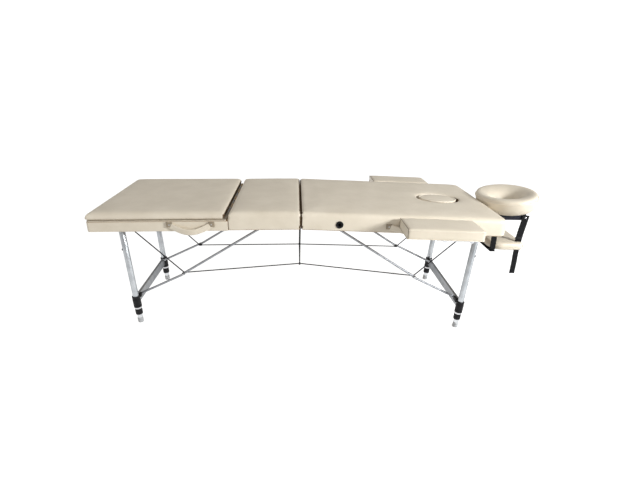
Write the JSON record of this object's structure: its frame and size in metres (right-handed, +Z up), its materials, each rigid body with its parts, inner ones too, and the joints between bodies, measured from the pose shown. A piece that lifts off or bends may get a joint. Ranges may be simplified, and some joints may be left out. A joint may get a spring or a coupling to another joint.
{
  "type": "portable massage table",
  "caption": "Folding three-section massage table with padded top, lifting backrest, telescopic legs with stays and cables, face hole, armrests, arm sling and headrest.",
  "frame": {"origin": "centre of the bounding box in plan, on the floor under the feet", "axes": "+Z up, +X along the table towards the headrest, -Y towards the near side with the open handle"},
  "size_m": [2.1202, 1.04, 0.6343],
  "materials": {
    "cream_vinyl": "soft satin",
    "wood_frame": "sealed beech and plywood",
    "aluminium": "bright anodised",
    "inner_tube": "bright drawn tube with grey rubber foot",
    "steel": "zinc plated",
    "black_plastic": "moulded",
    "black_steel": "satin powder coat",
    "webbing": "woven",
    "cable": "coated wire rope"
  },
  "bodies": {
    "left_half": {"left_frame": "wood_frame", "mid_cushion": "cream_vinyl", "fold_hinge_left": "steel", "left_leg_mount": "steel", "left_near_cable": "cable", "left_far_cable": "cable", "centre_cable": "cable", "left_handle": "cream_vinyl"},
    "right_half": {"right_frame": "wood_frame", "main_cushion": "cream_vinyl", "fold_hinge_right": "steel", "right_leg_mount": "steel", "right_near_cable": "cable", "right_far_cable": "cable", "right_handle": "cream_vinyl", "near_side_socket": "black_plastic", "far_side_socket": "black_plastic"},
    "backrest": {"back_deck": "wood_frame", "back_cushion": "cream_vinyl", "back_hinge_leaf": "steel"},
    "prop": {"backrest_prop": "steel"},
    "left_legs": {"left_crossbar": "aluminium", "left_near_leg": "aluminium", "left_near_leg_bracket": "black_plastic", "left_far_leg": "aluminium", "left_far_leg_bracket": "black_plastic"},
    "left_near_inner_leg": {"left_near_inner_leg": "inner_tube"},
    "left_near_twist_collar": {"left_near_twist_collar": "black_plastic"},
    "left_near_upper_stay": {"left_near_upper_stay": "aluminium"},
    "left_near_lower_stay": {"left_near_lower_stay": "aluminium"},
    "left_far_inner_leg": {"left_far_inner_leg": "inner_tube"},
    "left_far_twist_collar": {"left_far_twist_collar": "black_plastic"},
    "left_far_upper_stay": {"left_far_upper_stay": "aluminium"},
    "left_far_lower_stay": {"left_far_lower_stay": "aluminium"},
    "right_legs": {"right_crossbar": "aluminium", "right_near_leg": "aluminium", "right_near_leg_bracket": "black_plastic", "right_far_leg": "aluminium", "right_far_leg_bracket": "black_plastic"},
    "right_near_inner_leg": {"right_near_inner_leg": "inner_tube"},
    "right_near_twist_collar": {"right_near_twist_collar": "black_plastic"},
    "right_near_upper_stay": {"right_near_upper_stay": "aluminium"},
    "right_near_lower_stay": {"right_near_lower_stay": "aluminium"},
    "right_far_inner_leg": {"right_far_inner_leg": "inner_tube"},
    "right_far_twist_collar": {"right_far_twist_collar": "black_plastic"},
    "right_far_upper_stay": {"right_far_upper_stay": "aluminium"},
    "right_far_lower_stay": {"right_far_lower_stay": "aluminium"},
    "face_plug": {"face_plug": "cream_vinyl"},
    "near_armrest": {"near_armrest": "cream_vinyl", "near_armrest_bracket": "steel"},
    "far_armrest": {"far_armrest": "cream_vinyl", "far_armrest_bracket": "steel"},
    "headrest_base": {"headrest_base": "black_steel"},
    "headrest_arms": {"headrest_near_arm": "black_steel", "headrest_far_arm": "black_steel"},
    "headrest_cradle": {"headrest_plate": "black_steel", "headrest_cushion": "cream_vinyl"},
    "arm_sling": {"sling_pad": "cream_vinyl", "sling_outer_strap": "webbing", "sling_inner_strap": "webbing"}
  },
  "joints": [
    {"name": "fold", "type": "hinge", "parent": "left_half", "child": "right_half", "pos_m": [-0.13392, 0, 0.52016], "axis": [0, 1, 0], "range_deg": [0, 177], "deforming": ["left_near_cable", "left_far_cable", "right_near_cable", "right_far_cable", "centre_cable"]},
    {"name": "left_legs_fold", "type": "hinge", "parent": "left_half", "child": "left_legs", "pos_m": [-0.95414, 0, 0.51955], "axis": [0, -1, 0], "range_deg": [0, 87.1]},
    {"name": "left_near_leg_extend", "type": "slide", "parent": "left_legs", "child": "left_near_inner_leg", "axis": [0.0745, 0, -0.9972], "range_m": [0, 0.2]},
    {"name": "left_near_collar_twist", "type": "hinge", "parent": "left_legs", "child": "left_near_twist_collar", "pos_m": [-0.95414, -0.247, 0.51955], "axis": [0.0745, 0, -0.9972], "range_deg": [0, 90]},
    {"name": "left_near_upper_stay_fold", "type": "hinge", "parent": "left_half", "child": "left_near_upper_stay", "pos_m": [-0.20966, -0.1995, 0.55036], "axis": [0, 1, 0], "range_deg": [0, 30.85]},
    {"name": "left_near_lower_stay_fold", "type": "hinge", "parent": "left_legs", "child": "left_near_lower_stay", "pos_m": [-0.90874, -0.2125, 0.13988], "axis": [0, -1, 0], "range_deg": [0, 73.81]},
    {"name": "left_far_leg_extend", "type": "slide", "parent": "left_legs", "child": "left_far_inner_leg", "axis": [0.0745, 0, -0.9972], "range_m": [0, 0.2]},
    {"name": "left_far_collar_twist", "type": "hinge", "parent": "left_legs", "child": "left_far_twist_collar", "pos_m": [-0.95414, 0.247, 0.51955], "axis": [0.0745, 0, -0.9972], "range_deg": [0, 90]},
    {"name": "left_far_upper_stay_fold", "type": "hinge", "parent": "left_half", "child": "left_far_upper_stay", "pos_m": [-0.20966, 0.1995, 0.55036], "axis": [0, 1, 0], "range_deg": [0, 30.85]},
    {"name": "left_far_lower_stay_fold", "type": "hinge", "parent": "left_legs", "child": "left_far_lower_stay", "pos_m": [-0.90874, 0.2125, 0.13988], "axis": [0, -1, 0], "range_deg": [0, 73.81]},
    {"name": "right_legs_fold", "type": "hinge", "parent": "right_half", "child": "right_legs", "pos_m": [0.6863, 0, 0.51955], "axis": [0, 1, 0], "range_deg": [0, 87.1]},
    {"name": "right_near_leg_extend", "type": "slide", "parent": "right_legs", "child": "right_near_inner_leg", "axis": [-0.0745, 0, -0.9972], "range_m": [0, 0.2]},
    {"name": "right_near_collar_twist", "type": "hinge", "parent": "right_legs", "child": "right_near_twist_collar", "pos_m": [0.6863, -0.282, 0.51955], "axis": [-0.0745, 0, -0.9972], "range_deg": [0, 90]},
    {"name": "right_near_upper_stay_fold", "type": "hinge", "parent": "right_half", "child": "right_near_upper_stay", "pos_m": [-0.05818, -0.2145, 0.55036], "axis": [0, -1, 0], "range_deg": [0, 30.85]},
    {"name": "right_near_lower_stay_fold", "type": "hinge", "parent": "right_legs", "child": "right_near_lower_stay", "pos_m": [0.6409, -0.2275, 0.13988], "axis": [0, 1, 0], "range_deg": [0, 73.81]},
    {"name": "right_far_leg_extend", "type": "slide", "parent": "right_legs", "child": "right_far_inner_leg", "axis": [-0.0745, 0, -0.9972], "range_m": [0, 0.2]},
    {"name": "right_far_collar_twist", "type": "hinge", "parent": "right_legs", "child": "right_far_twist_collar", "pos_m": [0.6863, 0.282, 0.51955], "axis": [-0.0745, 0, -0.9972], "range_deg": [0, 90]},
    {"name": "right_far_upper_stay_fold", "type": "hinge", "parent": "right_half", "child": "right_far_upper_stay", "pos_m": [-0.05818, 0.2145, 0.55036], "axis": [0, -1, 0], "range_deg": [0, 30.85]},
    {"name": "right_far_lower_stay_fold", "type": "hinge", "parent": "right_legs", "child": "right_far_lower_stay", "pos_m": [0.6409, 0.2275, 0.13988], "axis": [0, 1, 0], "range_deg": [0, 73.81]},
    {"name": "backrest_lift", "type": "hinge", "parent": "left_half", "child": "backrest", "pos_m": [-0.45645, 0, 0.58047], "axis": [0, 1, 0], "range_deg": [0, 70]},
    {"name": "prop_swing", "type": "hinge", "parent": "backrest", "child": "prop", "pos_m": [-0.71776, 0, 0.54821], "axis": [0, -1, 0], "range_deg": [0, 140]},
    {"name": "face_plug_lift", "type": "slide", "parent": "right_half", "child": "face_plug", "axis": [0.0239, 0, 0.9997], "range_m": [0, 0.1]},
    {"name": "near_armrest_slide", "type": "slide", "parent": "right_half", "child": "near_armrest", "axis": [0, -1, 0], "range_m": [0, 0.06]},
    {"name": "far_armrest_slide", "type": "slide", "parent": "right_half", "child": "far_armrest", "axis": [0, 1, 0], "range_m": [0, 0.06]},
    {"name": "headrest_slide", "type": "slide", "parent": "right_half", "child": "headrest_base", "axis": [0.9997, 0, -0.0239], "range_m": [0, 0.06]},
    {"name": "headrest_height", "type": "hinge", "parent": "headrest_base", "child": "headrest_arms", "pos_m": [0.82648, 0, 0.5252], "axis": [0, -1, 0], "range_deg": [-25, 0]},
    {"name": "headrest_tilt", "type": "hinge", "parent": "headrest_arms", "child": "headrest_cradle", "pos_m": [0.97948, 0, 0.5277], "axis": [0, -1, 0], "range_deg": [-25, 0]},
    {"name": "sling_swing", "type": "hinge", "parent": "headrest_arms", "child": "arm_sling", "pos_m": [0.97948, 0, 0.5277], "axis": [0, -1, 0], "range_deg": [0, 15]}
  ],
  "couplings": [
    {"joint": "left_legs_fold", "follows": "fold", "ratio": 0.49209},
    {"joint": "left_near_upper_stay_fold", "follows": "fold", "ratio": 0.17429},
    {"joint": "left_near_lower_stay_fold", "follows": "fold", "ratio": 0.41701},
    {"joint": "left_far_upper_stay_fold", "follows": "fold", "ratio": 0.17429},
    {"joint": "left_far_lower_stay_fold", "follows": "fold", "ratio": 0.41701},
    {"joint": "right_legs_fold", "follows": "fold", "ratio": 0.49209},
    {"joint": "right_near_upper_stay_fold", "follows": "fold", "ratio": 0.17429},
    {"joint": "right_near_lower_stay_fold", "follows": "fold", "ratio": 0.41701},
    {"joint": "right_far_upper_stay_fold", "follows": "fold", "ratio": 0.17429},
    {"joint": "right_far_lower_stay_fold", "follows": "fold", "ratio": 0.41701},
    {"joint": "prop_swing", "follows": "backrest_lift", "ratio": 2}
  ]
}
